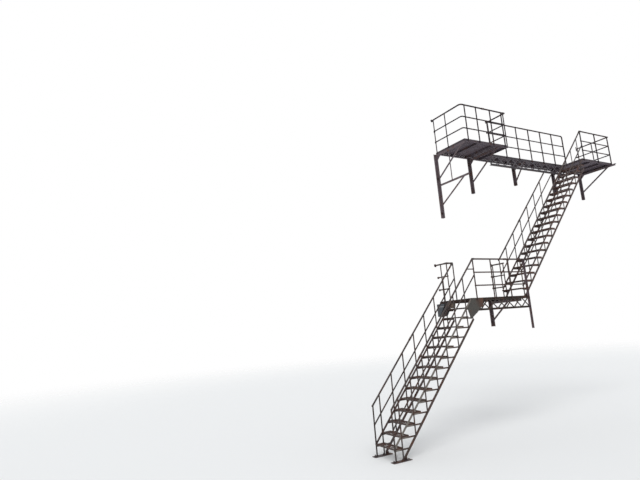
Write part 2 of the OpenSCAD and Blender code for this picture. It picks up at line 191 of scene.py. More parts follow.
# colours are linear; rustAt is the level past which paint gives way to rust
# painted light and shade: surfaces that face down are mixed toward a set colour for how lit they look from
# below
# painted shade: a darker colour is mixed into creases, corners and gaps that ambient occlusion finds, as if
# shade fell there
blackIron = {
    "paint": (0.042, 0.033, 0.037), "paintOld": (0.070, 0.057, 0.064), "chalk": (0.125, 0.117, 0.123),
    "rustDark": (0.046, 0.025, 0.020), "rust": (0.098, 0.048, 0.034), "rustBright": (0.240, 0.100, 0.045),
    "bare": (0.170, 0.150, 0.142), "creaseShadeColour": (0.018, 0.014, 0.015), "undersideShade": (0.046, 0.036, 0.042),
    "rustAt": 0.56, "rustSoft": 0.06, "chalky": 0.45, "wear": 0.4, "runs": 0.45, "bright": 0.3,
    "patchScale": 8.0, "speckScale": 95.0, "fineScale": 420.0, "pitScale": 160.0, "flakeScale": 62.0,
    "gloss": 0.50, "sheen": 0.28, "bump": 0.6, "underRust": 0.05, "under": 0.45, "flake": 0.10, "creaseShade": 0.55,
    "tint": None, "patch": None, "inside": None,
}


def ironFinish(name, changes):
    look = dict(blackIron, **changes)
    f = Finish(name)
    where = f.add("ShaderNodeTexCoord", out="Object")
    normal = f.add("ShaderNodeNewGeometry", out="Normal")
    facing = f.part(normal, "Z")
    broad = f.noise(where, 0.8, 3)
    patches = f.noise(where, look["patchScale"], 6, 0.66, 0.4)
    specks = f.noise(where, look["speckScale"], 5, 0.7)
    fine = f.noise(where, look["fineScale"], 3, 0.6)
    pits = f.cells(where, look["pitScale"])
    wander = f.add("ShaderNodeCombineXYZ", None, {0: specks, 1: specks, 2: patches})
    bent = f.add("ShaderNodeVectorMath", {"operation": "MULTIPLY_ADD"},
                 {0: wander, 1: (0.02, 0.02, 0.02), 2: where})
    scale = f.add("ShaderNodeSeparateColor", None, {0: f.cells(bent, look["flakeScale"], "Color")})
    longways = f.add("ShaderNodeMapping", None, {"Vector": where, "Scale": (26.0, 26.0, 1.6)})
    runs = f.noise(longways, 1.0, 5, 0.6)
    shade = f.add("ShaderNodeAmbientOcclusion", {"samples": 4}, {"Distance": 0.045}, "AO")
    soft = f.add("ShaderNodeBevel", {"samples": 5}, {"Radius": 0.0026})
    agree = f.add("ShaderNodeVectorMath", {"operation": "DOT_PRODUCT"}, {0: soft, 1: normal}, "Value")
    even = patches * 0.5 + specks * 0.5
    mottle = patches * 0.6 + specks * 0.4
    edge = f.rise(1 - agree, 0.015, 0.22) * f.rise(even, 0.42, 0.62)
    # the occluded creases feed both real rust and the painted shade further down
    creaseRustAndShade = f.rise(1 - shade, 0.30, 0.85)
    above = f.rise(facing, 0.15, 0.9)
    below = f.rise(-1 * facing, 0.15, 0.9)
    # rust eats through where patches, creases and undersides add up, and paint comes off in scales
    hunger = (patches * 0.72 + specks * 0.16 + broad * 0.24 + creaseRustAndShade * 0.07 + below * look["underRust"]
              + (scale - 0.5) * look["flake"] - 0.04)
    rusted = f.rise(hunger, look["rustAt"], look["rustAt"] + look["rustSoft"])
    rim = f.rise(hunger, look["rustAt"] - 0.03, look["rustAt"] + 0.005) * (1 - rusted)
    run = f.rise(runs, 0.57, 0.74) * f.rise(broad, 0.42, 0.58) * look["runs"]
    paint = f.mix(f.rise(broad * 0.6 + patches * 0.4, 0.40, 0.62), look["paint"], look["paintOld"])
    dusty = f.rise(specks * 0.35 + patches * 0.65, 0.36, 0.62)
    faded = dusty * (above * 0.75 + 0.25) * (1 - below * 0.8) * look["chalky"]
    paint = f.mix(faded, paint, look["chalk"])
    rust = f.mix(f.rise(specks * 0.7 + fine * 0.3, 0.38, 0.60), look["rustDark"], look["rust"])
    rust = f.mix(f.rise(even, 0.54, 0.66) * look["bright"], rust, look["rustBright"])
    colour = f.mix(rusted, paint, rust)
    colour = f.mix(rim * 0.55, colour, look["rustDark"])
    colour = f.mix(run, colour, look["rust"])
    colour = f.mix(edge * look["wear"] * (1 - below * 0.7), colour, look["bare"])
    if look["tint"]:  # lighter above a sloping line, as far up as its top
        tint = look["tint"]
        past = f.part(where, "Z") - (f.part(where, "X") * tint.get("slope", 0.0) + tint["offset"])
        capped = 1 - f.rise(past, tint["top"] - 0.004, tint["top"] + 0.004)
        side = f.rise(past, -tint["width"], tint["width"]) * capped
        # on the box this lighter band is a painted highlight along its top edge
        worn = side * f.rise(mottle, 0.30, 0.52) * tint["amount"]
        colour = f.mix(worn, colour, tint["colour"])
    if look["patch"]:  # a place rusted more than the rest
        patch = look["patch"]
        away = f.distance(where, patch["at"])
        near = 1 - f.rise(away + patches * 0.16, patch["radius"] * 0.7, patch["radius"] * 1.25)
        stain = f.mix(f.rise(even, 0.44, 0.58), patch["colour"], patch["second"])
        colour = f.mix(near * f.rise(mottle, 0.28, 0.50), colour, stain)
    if look["inside"]:  # what lies further back than this was never painted
        inside = look["inside"]
        behind = f.rise(f.part(where, "Y"), inside["past"], inside["past"] + 0.01)
        plain = f.mix(f.rise(mottle, 0.40, 0.58), inside["colour"], inside["worn"])
        colour = f.mix(behind, colour, plain)
    # painted light and shade: surfaces that face down take a set colour for how lit they look, not a soot or
    # paint colour
    colour = f.mix(below * look["under"], colour, look["undersideShade"])
    # painted shade: creases, corners and gaps between parts are darkened where ambient occlusion finds them
    colour = f.mix(creaseRustAndShade * look["creaseShade"], colour, look["creaseShadeColour"])
    height = (specks * rusted * 0.8 + patches * 0.35 - rusted * 0.5 - pits * rusted * 0.35 + rim * 0.4
              + fine * 0.12 + scale * rim * 0.3)
    bump = f.add("ShaderNodeBump", None, {"Strength": look["bump"], "Distance": 0.0016, "Height": height})
    rough = look["gloss"] + rusted * 0.34 + specks * 0.12 - edge * 0.10 + faded * 0.10
    f.feed(Base_Color=colour, Roughness=rough, Metallic=edge * look["wear"] * 0.5, Normal=bump,
           Specular_IOR_Level=look["sheen"])
    return f.material


looks = {
    # on the decks the gaps between the slats take strong painted shade
    # on the decks the undersides take a painted tone for how lit they look, lighter than the paint on the
    # gallery decks
    "deck": ("deckIron", {
        "paint": (0.050, 0.039, 0.049), "paintOld": (0.070, 0.056, 0.068), "chalk": (0.110, 0.100, 0.110),
        "undersideShade": (0.100, 0.080, 0.102), "creaseShadeColour": (0.026, 0.020, 0.025), "rust": (0.088, 0.046, 0.036),
        "chalky": 0.25, "wear": 0.15, "under": 0.7, "creaseShade": 0.85, "bright": 0.12}),
    "lowDeck": ("lowDeckIron", {
        "paint": (0.025, 0.018, 0.015), "paintOld": (0.038, 0.028, 0.023), "chalk": (0.060, 0.049, 0.042),
        "undersideShade": (0.026, 0.021, 0.018), "creaseShadeColour": (0.012, 0.009, 0.008), "chalky": 0.25, "wear": 0.2,
        "sheen": 0.15, "under": 0.85, "creaseShade": 0.85, "rustAt": 0.54, "bright": 0.2}),
    "rail": ("railIron", {
        "paint": (0.026, 0.020, 0.024), "paintOld": (0.043, 0.034, 0.040), "chalk": (0.088, 0.080, 0.087),
        "sheen": 0.15, "rustAt": 0.57, "patchScale": 11.0}),
    "lowRail": ("lowRailIron", {
        "paint": (0.048, 0.031, 0.027), "paintOld": (0.078, 0.053, 0.045),
        "rustAt": 0.54, "patchScale": 11.0}),
    "leg": ("legIron", {
        "paint": (0.110, 0.086, 0.095), "paintOld": (0.147, 0.115, 0.128), "rustDark": (0.074, 0.045, 0.038),
        "rust": (0.125, 0.066, 0.050), "runs": 0.6, "wear": 0.3, "chalky": 0.35}),
    "lattice": ("latticeIron", {
        "paint": (0.032, 0.026, 0.031), "paintOld": (0.048, 0.040, 0.048), "chalk": (0.122, 0.115, 0.125),
        "chalky": 0.6, "rustAt": 0.59, "creaseShade": 0.35,
        "tint": {"offset": 0.886, "width": 0.003, "top": 0.219,
                 "colour": (0.106, 0.097, 0.106), "amount": 0.85}}),
    "lace": ("laceIron", {
        "paint": (0.072, 0.064, 0.071), "paintOld": (0.106, 0.096, 0.105), "chalk": (0.155, 0.147, 0.156),
        "chalky": 0.8, "under": 0.1, "creaseShade": 0.3, "sheen": 0.20, "rustAt": 0.60}),
    "lowLace": ("lowLaceIron", {
        "paint": (0.038, 0.032, 0.027), "paintOld": (0.061, 0.053, 0.045), "chalk": (0.118, 0.108, 0.095),
        "chalky": 0.7, "under": 0.2, "sheen": 0.20, "rustAt": 0.58}),
    "lowLattice": ("lowLatticeIron", {
        "paint": (0.017, 0.013, 0.010), "paintOld": (0.025, 0.019, 0.015), "chalk": (0.050, 0.043, 0.037),
        "chalky": 0.35, "sheen": 0.12, "wear": 0.25, "rustAt": 0.57,
        "tint": {"offset": -2.888, "width": 0.003, "top": 0.193,
                 "colour": (0.092, 0.080, 0.070), "amount": 0.7}}),
    "tread": ("treadIron", {
        "paint": (0.078, 0.051, 0.045), "paintOld": (0.124, 0.080, 0.069), "rust": (0.164, 0.073, 0.049),
        "rustDark": (0.066, 0.033, 0.025), "rustAt": 0.50, "bright": 0.4, "chalky": 0.3, "creaseShade": 0.75}),
    "lowTread": ("lowTreadIron", {
        "paint": (0.041, 0.031, 0.025), "paintOld": (0.065, 0.051, 0.039), "rust": (0.110, 0.054, 0.038),
        "rustAt": 0.53, "bright": 0.35, "chalky": 0.35, "creaseShade": 0.75, "sheen": 0.22,
        "patch": {"at": (-2.60, -0.70, -5.25), "radius": 0.8,
                  "colour": (0.046, 0.026, 0.021), "second": (0.086, 0.038, 0.027)}}),
    "upperString": ("upperStringIron", {
        "paint": (0.061, 0.043, 0.040), "paintOld": (0.098, 0.068, 0.063),
        "rustAt": 0.545, "chalky": 0.5}),
    "lowerString": ("lowerStringIron", {
        "paint": (0.050, 0.035, 0.029), "paintOld": (0.074, 0.053, 0.043),
        "rustAt": 0.53, "bright": 0.35, "runs": 0.3,
        "tint": {"slope": flights["lower"]["slope"], "offset": noseAt(flights["lower"], 0) - 0.22,
                 "width": 0.05, "top": 9.0, "colour": (0.182, 0.163, 0.143), "amount": 0.9}}),
    "handrail": ("handrailIron", {
        "paint": (0.043, 0.033, 0.030), "paintOld": (0.068, 0.053, 0.047),
        "sheen": 0.24, "wear": 0.5}),
    "plate": ("chalkyGreyPaint", {
        "paint": (0.050, 0.047, 0.043), "paintOld": (0.066, 0.061, 0.052), "chalk": (0.096, 0.093, 0.087),
        "chalky": 0.6, "rustAt": 0.60, "bright": 0.5, "under": 0.2, "patchScale": 6.0,
        "patch": {"at": (-0.065, -1.0, -2.70), "radius": 0.27,
                  "colour": (0.052, 0.029, 0.022), "second": (0.108, 0.047, 0.026)},
        "inside": {"past": -0.5, "colour": (0.215, 0.172, 0.128), "worn": (0.132, 0.096, 0.078)}}),
    "box": ("blueGreyPaint", {
        "paint": (0.060, 0.070, 0.080), "paintOld": (0.074, 0.084, 0.094), "chalk": (0.165, 0.178, 0.190),
        "rustAt": 0.61,
        # the light band near the top of the box is a painted highlight, where light catches its top edge
        "tint": {"offset": -2.776, "width": 0.002, "top": 0.024,
                 "colour": (0.250, 0.246, 0.248), "amount": 0.95}}),
    "foot": ("footRust", {"rustAt": 0.47, "bright": 0.5, "chalky": 0.2}),
    "bolt": ("boltIron", {"rustAt": 0.50, "wear": 0.7, "patchScale": 24.0}),
    "nosing": ("wornNosing", {
        "paint": (0.052, 0.040, 0.036), "paintOld": (0.080, 0.062, 0.056), "chalk": (0.150, 0.132, 0.122),
        "chalky": 0.55, "wear": 0.8, "gloss": 0.36}),
}
finishes = {key: ironFinish(name, changes) for key, (name, changes) in looks.items()}
dressing = {
    "deck": ["balcony_deck", "walkway_deck", "stairhead_deck", "gallery_ledger"],
    "lowDeck": ["landing_deck", "landing_ledger"],
    "lattice": ["walkway_girder"], "lowLattice": ["landing_girder"],
    "leg": ["wall_bracket_" + str(n) for n in range(1, 6)] + ["landing_bracket_right", "landing_corner_post"],
    "rail": ["balcony_left_rail", "balcony_front_rail", "balcony_return_rail", "walkway_rail",
             "stairhead_front_rail", "stairhead_end_rail"],
    "lowRail": ["landing_front_rail", "landing_left_guard", "landing_right_guard"],
    "upperString": ["upper_string_inner", "upper_string_outer", "lower_string_inner"],
    "lowerString": ["lower_string_outer"],
    "tread": ["upper_treads"], "lowTread": ["lower_treads"],
    "handrail": ["upper_handrail_inner", "upper_handrail_outer",
                 "lower_handrail_inner", "lower_handrail_outer"],
    "plate": ["lower_gusset"], "box": ["landing_bracket_left"],
    "foot": ["foot_plate_inner", "foot_plate_outer"],
}
for finish, nodes in dressing.items():
    for node in nodes:
        for slot in cad[node].material_slots:
            slot.material = finishes[finish]
undressed = set(cad) - {node for nodes in dressing.values() for node in nodes}
print("finishes set, nodes without one:", sorted(undressed) or "none")


def newest():
    return bpy.context.view_layer.objects.active


def choose(pieces):
    # only these are selected, and the first is active
    bpy.ops.object.select_all(action="DESELECT")
    for piece in pieces:
        piece.select_set(True)
    bpy.context.view_layer.objects.active = pieces[0]


def enter():
    bpy.ops.object.mode_set(mode="EDIT")


def leave():
    bpy.ops.object.mode_set(mode="OBJECT")


def pickAll():
    enter()
    bpy.ops.mesh.select_all(action="SELECT")


def pickFaces(piece, test):
    # into edit mode with only the faces that pass the test selected
    enter()
    bpy.ops.mesh.select_mode(type="FACE")
    bpy.ops.mesh.select_all(action="DESELECT")
    leave()
    for face in piece.data.polygons:
        face.select = test(face.center, face.normal)
    enter()


def pickEnd(piece, side=1):
    # the end that looks up, or down where side is -1
    pickFaces(piece, lambda c, n: n.z * side > 0.9)


def pull(height):
    bpy.ops.mesh.extrude_region_move(TRANSFORM_OT_translate={"value": (0, 0, height)})


def widen(share):
    bpy.ops.transform.resize(value=(share, share, 1))


def applyPlace(piece):
    choose([piece])
    bpy.ops.object.transform_apply(location=True, rotation=True, scale=True)


def roundEdges(piece, width, segments=1):
    bevel = piece.modifiers.new("edges", "BEVEL")
    bevel.width, bevel.segments, bevel.limit_method, bevel.angle_limit = width, segments, "ANGLE", radians(50)
    bpy.context.view_layer.objects.active = piece
    bpy.ops.object.modifier_apply(modifier=bevel.name)


def moved(piece, place):
    piece.data.transform(place)
    return piece


def merge(pieces):
    choose(pieces)
    if len(pieces) > 1:
        bpy.ops.object.join()
    return pieces[0]


def dress(piece, name, finish):
    applyPlace(piece)
    piece.name = name
    piece.data.materials.clear()
    piece.data.materials.append(finishes[finish])
    bpy.ops.object.shade_smooth_by_angle(angle=radians(38))
    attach(piece, "root")
    print(name, len(piece.data.polygons), "faces")


def spread(master, name, spots, finish):
    # copies of a part at all its places, each with its own mesh, joined as one piece
    copies = []
    for place in spots:
        copy = master.copy()
        copy.data = master.data.copy()
        copy.data.transform(place)
        scene.collection.objects.link(copy)
        copies.append(copy)
    bpy.data.objects.remove(master)
    dress(merge(copies), name, finish)


def makeBlock(size, centre=(0, 0, 0), soften=0.0):
    bpy.ops.mesh.primitive_cube_add(size=1, location=centre)
    block = newest()
    block.scale = size
    applyPlace(block)
    if soften:
        roundEdges(block, soften)
    return block


def makeRound(sides, radius, tall, base=0.0):
    bpy.ops.mesh.primitive_cylinder_add(vertices=sides, radius=radius, depth=tall,
                                        location=(0, 0, base + tall / 2))
    piece = newest()
    applyPlace(piece)
    return piece


def makeRivet(look):
    # half a flattened ball on a short flared foot
    bpy.ops.mesh.primitive_uv_sphere_add(segments=look["sides"], ring_count=8, radius=look["radius"])
    rivet = newest()
    pickAll()
    bpy.ops.transform.resize(value=(1, 1, look["crown"]))
    bpy.ops.mesh.bisect(plane_co=(0, 0, 0), plane_no=(0, 0, 1), clear_inner=True, use_fill=True)
    leave()
    pickEnd(rivet, -1)
    pull(-0.0012)
    widen(1.12)
    leave()
    return rivet


def makeBolt(look):
    # washer, chamfered nut, and the end of the stud standing out of it
    washer = makeRound(20, look["washer"], look["washerThick"])
    pickEnd(washer)
    bpy.ops.mesh.inset(thickness=look["washer"] * 0.14)
    bpy.ops.transform.translate(value=(0, 0, look["washerThick"] * 0.3))
    leave()
    seat = look["washerThick"] * 1.3
    nut = makeRound(6, look["nut"], look["nutTall"], seat)
    pickEnd(nut)
    bpy.ops.mesh.bevel(offset=look["nut"] * 0.16, segments=2, affect="EDGES")
    leave()
    stud = makeRound(12, look["stud"], look["studTall"], seat + look["nutTall"] - 0.001)
    for turn in range(look["threads"]):  # a ring pinched in for each thread
        pickEnd(stud)
        bpy.ops.mesh.inset(thickness=look["stud"] * 0.12)
        pull(0.0011)
        widen(1.13)
        pull(0.0009)
        leave()
    return merge([washer, nut, stud])


def makeWeld(look):
    bpy.ops.mesh.primitive_ico_sphere_add(subdivisions=2, radius=1)
    bead = newest()
    bead.scale = (look["long"] / 2, look["wide"] / 2, look["tall"] / 2)
    applyPlace(bead)
    pickAll()
    bpy.ops.transform.vertex_random(offset=look["lumpy"], seed=look["seed"])
    leave()
    return bead


def makeSleeve(look):
    # pipe coupling with a rolled rim at each end
    sleeve = makeRound(20, look["radius"], look["long"], -look["long"] / 2)
    for side in (1, -1):
        pickEnd(sleeve, side)
        pull(0.002 * side)
        widen(1.13)
        pull(0.006 * side)
        pull(0.002 * side)
        widen(0.90)
        leave()
    return sleeve


def trim(piece, point, normal):
    # slices off what lies on the normal's side of a plane and closes the cut
    choose([piece])
    pickAll()
    bpy.ops.mesh.bisect(plane_co=point, plane_no=normal, clear_outer=True, use_fill=True)
    leave()


def clipCorners(plate, wide, tall, clip=0.008):
    for end in (1, -1):
        for side in (1, -1):
            trim(plate, (side * wide / 2, end * (tall / 2 - clip), 0), (side, end, 0))


wallNut = {"plate": 0.058, "plateThick": 0.006, "washer": 0.021, "washerThick": 0.003, "nut": 0.0139,
           "nutTall": 0.013, "stud": 0.0075, "studTall": 0.006, "threads": 4}
ironUnder = {"foot": 0.010, "bracket": 0.010, "leg": 0.007}  # thickness of what the nuts sit on


def makeWallNut(look):
    wide, thick = look["plate"], look["plateThick"]
    plate = makeBlock((wide, wide, thick), (0, 0, thick / 2), 0.0012)
    return merge([plate, moved(makeBolt(look), shift(0, 0, thick))])


wallSpots, groundSpots = [], []
for mount in frame["record"]["mounts"]:
    if mount["kind"] != "bolt_pattern":
        continue
    x, y, z = mount["pos_m"]
    # half the spacings, in metres
    wide, tall = (mount["dims"].get(key, 0) / 2000 for key in ("spacing_x_mm", "spacing_y_mm"))
    if mount["axis"][2]:
        groundSpots += [spot((x + s * wide, y, z + ironUnder["foot"]), (0, 0, 1), 12 + 31 * s)
                        for s in (-1, 1)]
    else:
        face = -ironUnder["bracket" if wide else "leg"]
        wallSpots += [spot((x + sx * wide, face, z + sz * tall), turn=9 * sz + 4 * sx)
                      for sx in ((-1, 1) if wide else (0,)) for sz in (-1, 1)]
spread(makeWallNut(wallNut), "wallNuts", wallSpots, "bolt")
spread(makeWallNut(dict(wallNut, plate=0.050)), "anchorNuts", groundSpots, "foot")

footBolt = {"washer": 0.0145, "washerThick": 0.0025, "nut": 0.0098, "nutTall": 0.008, "stud": 0.005,
            "studTall": 0.004, "threads": 2}
ledgerBolt = dict(footBolt, washer=0.017, washerThick=0.003, nut=0.0112, nutTall=0.009, stud=0.006)
ledgerLine = 0.027  # the bolts below the walking level
ledgers = (  # level, first bolt, pitch and count of bolts, and how far each is turned from the last
    (stair["gallery"], 0.36, 0.71, 9, 17), (stair["landing"], -0.16, 0.52, 4, 23))
spread(makeBolt(ledgerBolt), "ledgerBolts",
       [spot((first + pitch * i, -0.006, level - ledgerLine), turn=turn * i)
        for level, first, pitch, count, turn in ledgers for i in range(count)], "bolt")

wallFlange = {"radius": 0.037, "thick": 0.006, "hub": 0.0235, "hubTall": 0.014, "screwsAt": 0.0303,
              "screw": {"sides": 10, "radius": 0.0042, "crown": 0.5}}


def makeWallFlange(look):
    flange = makeRound(28, look["radius"], look["thick"])
    pickEnd(flange)
    bpy.ops.mesh.inset(thickness=look["radius"] - look["hub"])
    pull(look["hubTall"])
    widen(0.86)
    leave()
    roundEdges(flange, 0.0012, 2)
    screws = []
    for turn in (radians(90), radians(210), radians(330)):
        place = shift(look["screwsAt"] * cos(turn), look["screwsAt"] * sin(turn), look["thick"])
        screws.append(moved(makeRivet(look["screw"]), place))
    return merge([flange] + screws)


flangeSpots = []
wallEnds = (("balconyLeft", 0), ("landingLeft", 0), ("landingRight", rails["landingRight"]["length"]))
for name, along in wallEnds:
    at = onRail(rails[name], along, pipeOut, rails[name]["height"])
    flangeSpots.append(spot((at.x, 0, at.z)))
spread(makeWallFlange(wallFlange), "wallFlanges", flangeSpots, "rail")

endPlate = {"wide": 0.0355, "tall": 0.150, "thick": 0.006, "bolt": dict(footBolt, washer=0.0125, nut=0.0094),
            "boltsAt": 0.050}


def makeEndPlate(look):
    # upright plate with clipped corners and a bolt above and below the rail
    plate = makeBlock((look["wide"], look["tall"], look["thick"]), (0, 0, look["thick"] / 2))
    clipCorners(plate, look["wide"], look["tall"])
    roundEdges(plate, 0.0010)
    return merge([plate] + [moved(makeBolt(look["bolt"]), shift(0, end * look["boltsAt"], look["thick"]))
                            for end in (1, -1)])


spread(makeEndPlate(endPlate), "railEndPlate",
       [spot((stair["endX"] + pipeOut, 0, rails["headEnd"]["top"]))], "rail")

barRivet = {"sides": 10, "radius": 0.0078, "crown": 0.72}
postWeld = {"long": 0.034, "wide": 0.009, "tall": 0.008, "lumpy": 0.0009, "seed": 3}
flatPost = {"middle": 0.014, "face": 0.008, "far": 0.008}  # far is the side of the post away from the deck
anglePost = {"middle": 0.017, "face": 0.005, "far": 0.033}
barBack, footHoles, weldDrop = -0.006, (0.018, 0.045), 0.008
rivetSpots, boltSpots, weldSpots = [], [], []
for rail in rails.values():
    out, inn = outward(rail), -outward(rail)
    kind = flatPost if rail.get("flat") else anglePost
    for post in rail["posts"]:
        middle = post + kind["middle"]
        for share in railShares:
            z = rail["height"] * share
            rivetSpots.append(spot(onRail(rail, middle, barBack, z), inn))
            rivetSpots.append(spot(onRail(rail, middle, kind["face"], z), out))
        for drop in footHoles:
            boltSpots.append(spot(onRail(rail, middle, kind["face"], -drop), out, 25 * post))
        for side in (0.001, kind["far"]):
            weld = onRail(rail, middle, side, rail["height"] - weldDrop)
            weldSpots.append(spot(weld, (0, 0, 1), rail["turn"]))
spread(makeRivet(barRivet), "railRivets", rivetSpots, "rail")
spread(makeBolt(footBolt), "postBolts", boltSpots, "bolt")

stringRivet = dict(barRivet, radius=0.0085, crown=0.7)
treadBolt = dict(footBolt, washer=0.013, washerThick=0.002, nut=0.0086, nutTall=0.007, stud=0.0045,
                 studTall=0.003, threads=1)
cleats = {"below": 0.015, "along": (0.045, 0.150), "across": (-0.977, -0.423)}  # with their bolts' lines
handrails = (  # side, where its posts are listed, outer faces of the posts and of the middle bar
    (-1, "outerPosts", -1.008, -1.0135), (1, "innerPosts", -0.393, -0.3875))
handBar, handWeld = 0.47, 0.662  # the bar's share of the handrail's height, and the height of the welds
stringSpots, handSpots, underSpots = [], [], []
for flight in flights.values():
    chord = flight["chord"]
    for step in range(flight["treads"]):
        front = flight["x"] + step * flight["run"]
        cleat = flight["z"] + step * flight["rise"] - stair["treadDepth"] - cleats["below"]
        for x in (noseX(flight, cleat + topChord), noseX(flight, cleat + chord)):
            if flight["x"] + 0.05 < x < flight["x"] + flight["treads"] * flight["run"] - 0.01:
                stringSpots.append(spot((x, stair["outer"], cleat)))
                stringSpots.append(spot((x, stair["innerString"], cleat), (0, 1, 0)))
        underSpots += [spot((front + x, y, cleat + 0.010), (0, 0, -1), 40 * step)
                       for x in cleats["along"] for y in cleats["across"]]
    for side, posts, postFace, barFace in handrails:
        for x in flight[posts]:
            nose = noseAt(flight, x)
            handSpots.append(spot((x, barFace, nose + handBar * stair["handHeight"]), (0, side, 0)))
            for drop in (topChord, chord):
                if nose - drop > flight["foot"] + 0.02:
                    handSpots.append(spot((x, postFace, nose - drop), (0, side, 0)))
            weldSpots.append(spot((x, postFace - 0.001 * side, nose + handWeld), (0, side, 0)))
spread(makeRivet(stringRivet), "stringRivets", stringSpots, "upperString")
spread(makeRivet(barRivet), "handrailRivets", handSpots, "handrail")
spread(makeBolt(treadBolt), "treadBolts", underSpots, "bolt")
spread(makeWeld(postWeld), "postWelds", weldSpots, "bolt")

nosing = {"radius": 0.0075, "width": 0.579, "dents": 0.0006, "middle": -0.70, "ahead": 0.0005}


def makeNosing(look):
    # half-round bar along the front of a tread, a little battered
    bar = makeRound(12, look["radius"], look["width"], -look["width"] / 2)
    pickAll()
    bpy.ops.mesh.bisect(plane_co=(0, 0, 0), plane_no=(1, 0, 0), clear_outer=True, use_fill=True)
    for cut in range(-4, 5):
        bpy.ops.mesh.select_all(action="SELECT")
        bpy.ops.mesh.bisect(plane_co=(0, 0, cut * look["width"] / 10), plane_no=(0, 0, 1))
    bpy.ops.mesh.select_all(action="SELECT")
    bpy.ops.transform.vertex_random(offset=look["dents"], seed=5)
    leave()
    return moved(bar, quarter("X"))


spread(makeNosing(nosing), "treadNosings",
       [shift(flight["x"] + step * flight["run"] + nosing["ahead"], nosing["middle"],
              flight["z"] + step * flight["rise"] - nosing["radius"])
        for flight in flights.values() for step in range(flight["treads"])], "nosing")

# lattice girders: a second layer of bars over the first, riveted at ends and crossings
girders = {
    "walkway": {"x1": stair["walkX"], "x2": stair["headX"] - 0.002, "y": stair["inner"],
                "top": stair["gallery"], "tall": 0.31, "bays": 11, "bars": "lace", "chords": "lattice"},
    "landing": {"x1": stair["landX1"], "x2": stair["landX2"], "y": stair["outer"],
                "top": stair["landing"], "tall": 0.285, "bays": 7, "bars": "lowLace", "chords": "lowLattice"},
}
# bars' size, ends of their lines and clear parts, depths, and the rivets' rows
lace = {"wide": 0.024, "thick": 0.0042, "centre": 0.025, "low": 0.040, "high": 0.055,
        "layer": 0.0034, "front": 0.0013, "back": 0.0105, "end": 0.015, "lowRow": 0.022, "highRow": 0.032}
girderRivet = dict(barRivet, radius=0.0080)
for name, girder in girders.items():
    step = (girder["x2"] - girder["x1"]) / girder["bays"]
    low, high, y = girder["top"] - girder["tall"], girder["top"], girder["y"]
    rise = girder["tall"] - 2 * lace["centre"]
    openLow, openHigh = low + lace["low"], high - lace["high"]
    across = lambda z: (z - low - lace["centre"]) / rise * step
    long = hypot(across(openHigh) - across(openLow), openHigh - openLow)
    middle = (across(openHigh) + across(openLow)) / 2
    bar = makeBlock((long, lace["thick"], lace["wide"]), soften=0.0008)
    lean = Matrix.Rotation(-atan2(rise, step), 4, "Y")
    bars, rivets = [], []
    for bay in range(girder["bays"]):
        x = girder["x1"] + bay * step
        bars.append(shift(x + middle, y + lace["layer"], (openLow + openHigh) / 2) @ lean)
        rivets.append(spot((x + step / 2, y + lace["front"], low + girder["tall"] / 2)))
        rivets.append(spot((x + step / 2, y + lace["back"], low + girder["tall"] / 2), (0, 1, 0)))
    for end in range(girder["bays"] + 1):
        x = min(max(girder["x1"] + end * step, girder["x1"] + lace["end"]), girder["x2"] - lace["end"])
        rivets += [spot((x, y, z)) for z in (low + lace["lowRow"], high - lace["highRow"])]
    spread(bar, name + "Lacing", bars, girder["bars"])
    spread(makeRivet(girderRivet), name + "GirderRivets", rivets, girder["chords"])

# rivets where the slats cross their bearers
deckRivet = {"sides": 8, "radius": 0.0065, "crown": 0.45}
slats = {"pitch": 0.056, "margin": 0.03, "first": 0.046, "ends": 0.084}
decks = {  # left and right edge, depth, level, front
    "balcony": (stair["balconyX"], stair["walkX"], 1.006, stair["gallery"], stair["outer"]),
    "walkway": (stair["walkX"] + 0.001, stair["headX"] - 0.001, 0.4, stair["gallery"], stair["inner"]),
    "stairhead": (stair["headX"], stair["endX"], 1.006, stair["gallery"], stair["outer"]),
    "landing": (stair["landX1"], stair["landX2"], 1.0, stair["landing"], stair["outer"]),
}


def bearerLines(x1, x2, inset):
    # the two end bearers, and those between them, about 0.56 m apart
    bays = max(2, ceil((x2 - x1) / 0.56))
    return [x1 + inset, x2 - inset] + [x1 + i * (x2 - x1) / bays for i in range(1, bays)]


deckSpots = []
for x1, x2, depth, z, front in decks.values():
    count = int((depth - slats["margin"]) / slats["pitch"])
    for i in range(count):
        y = -slats["first"] - i * (depth - slats["ends"]) / (count - 1)
        deckSpots += [spot((x, y, z), (0, 0, 1)) for x in bearerLines(x1, x2, 0.009)]
spread(makeRivet(deckRivet), "deckRivets", deckSpots, "deck")

# couplings on the round rails, and the collars and balls of their corners
coupling = {"radius": 0.0208, "long": 0.052}
collar = {"radius": 0.0205, "long": 0.030, "reach": 0.034}
cornerBall = {"sides": 20, "rings": 12, "radius": 0.0222}
outerPipe, innerPipe = stair["outer"] - pipeOut, stair["innerString"] + pipeOut
handStart = 0.06  # a handrail's lower end past the first nosing


def pipeEnds(flight, side):
    y = outerPipe if side == "outer" else innerPipe
    start, (x, z) = flight["x"] + handStart, flight[side + "End"]
    return Vector((start, y, noseAt(flight, start) + stair["handHeight"])), Vector((x, y, z))


couplingSpots = []
for name, share in (("balconyFront", 0.5), ("landingFront", 0.62)):
    rail = rails[name]
    couplingSpots.append(spot(onRail(rail, share * rail["length"], pipeOut, rail["height"]), (1, 0, 0)))
for flight in flights.values():
    for side, shares in (("outer", (0.30, 0.66)), ("inner", (0.42,))):
        low, high = pipeEnds(flight, side)
        couplingSpots += [spot(low.lerp(high, share), high - low) for share in shares]
spread(makeSleeve(coupling), "railCouplings", couplingSpots, "handrail")

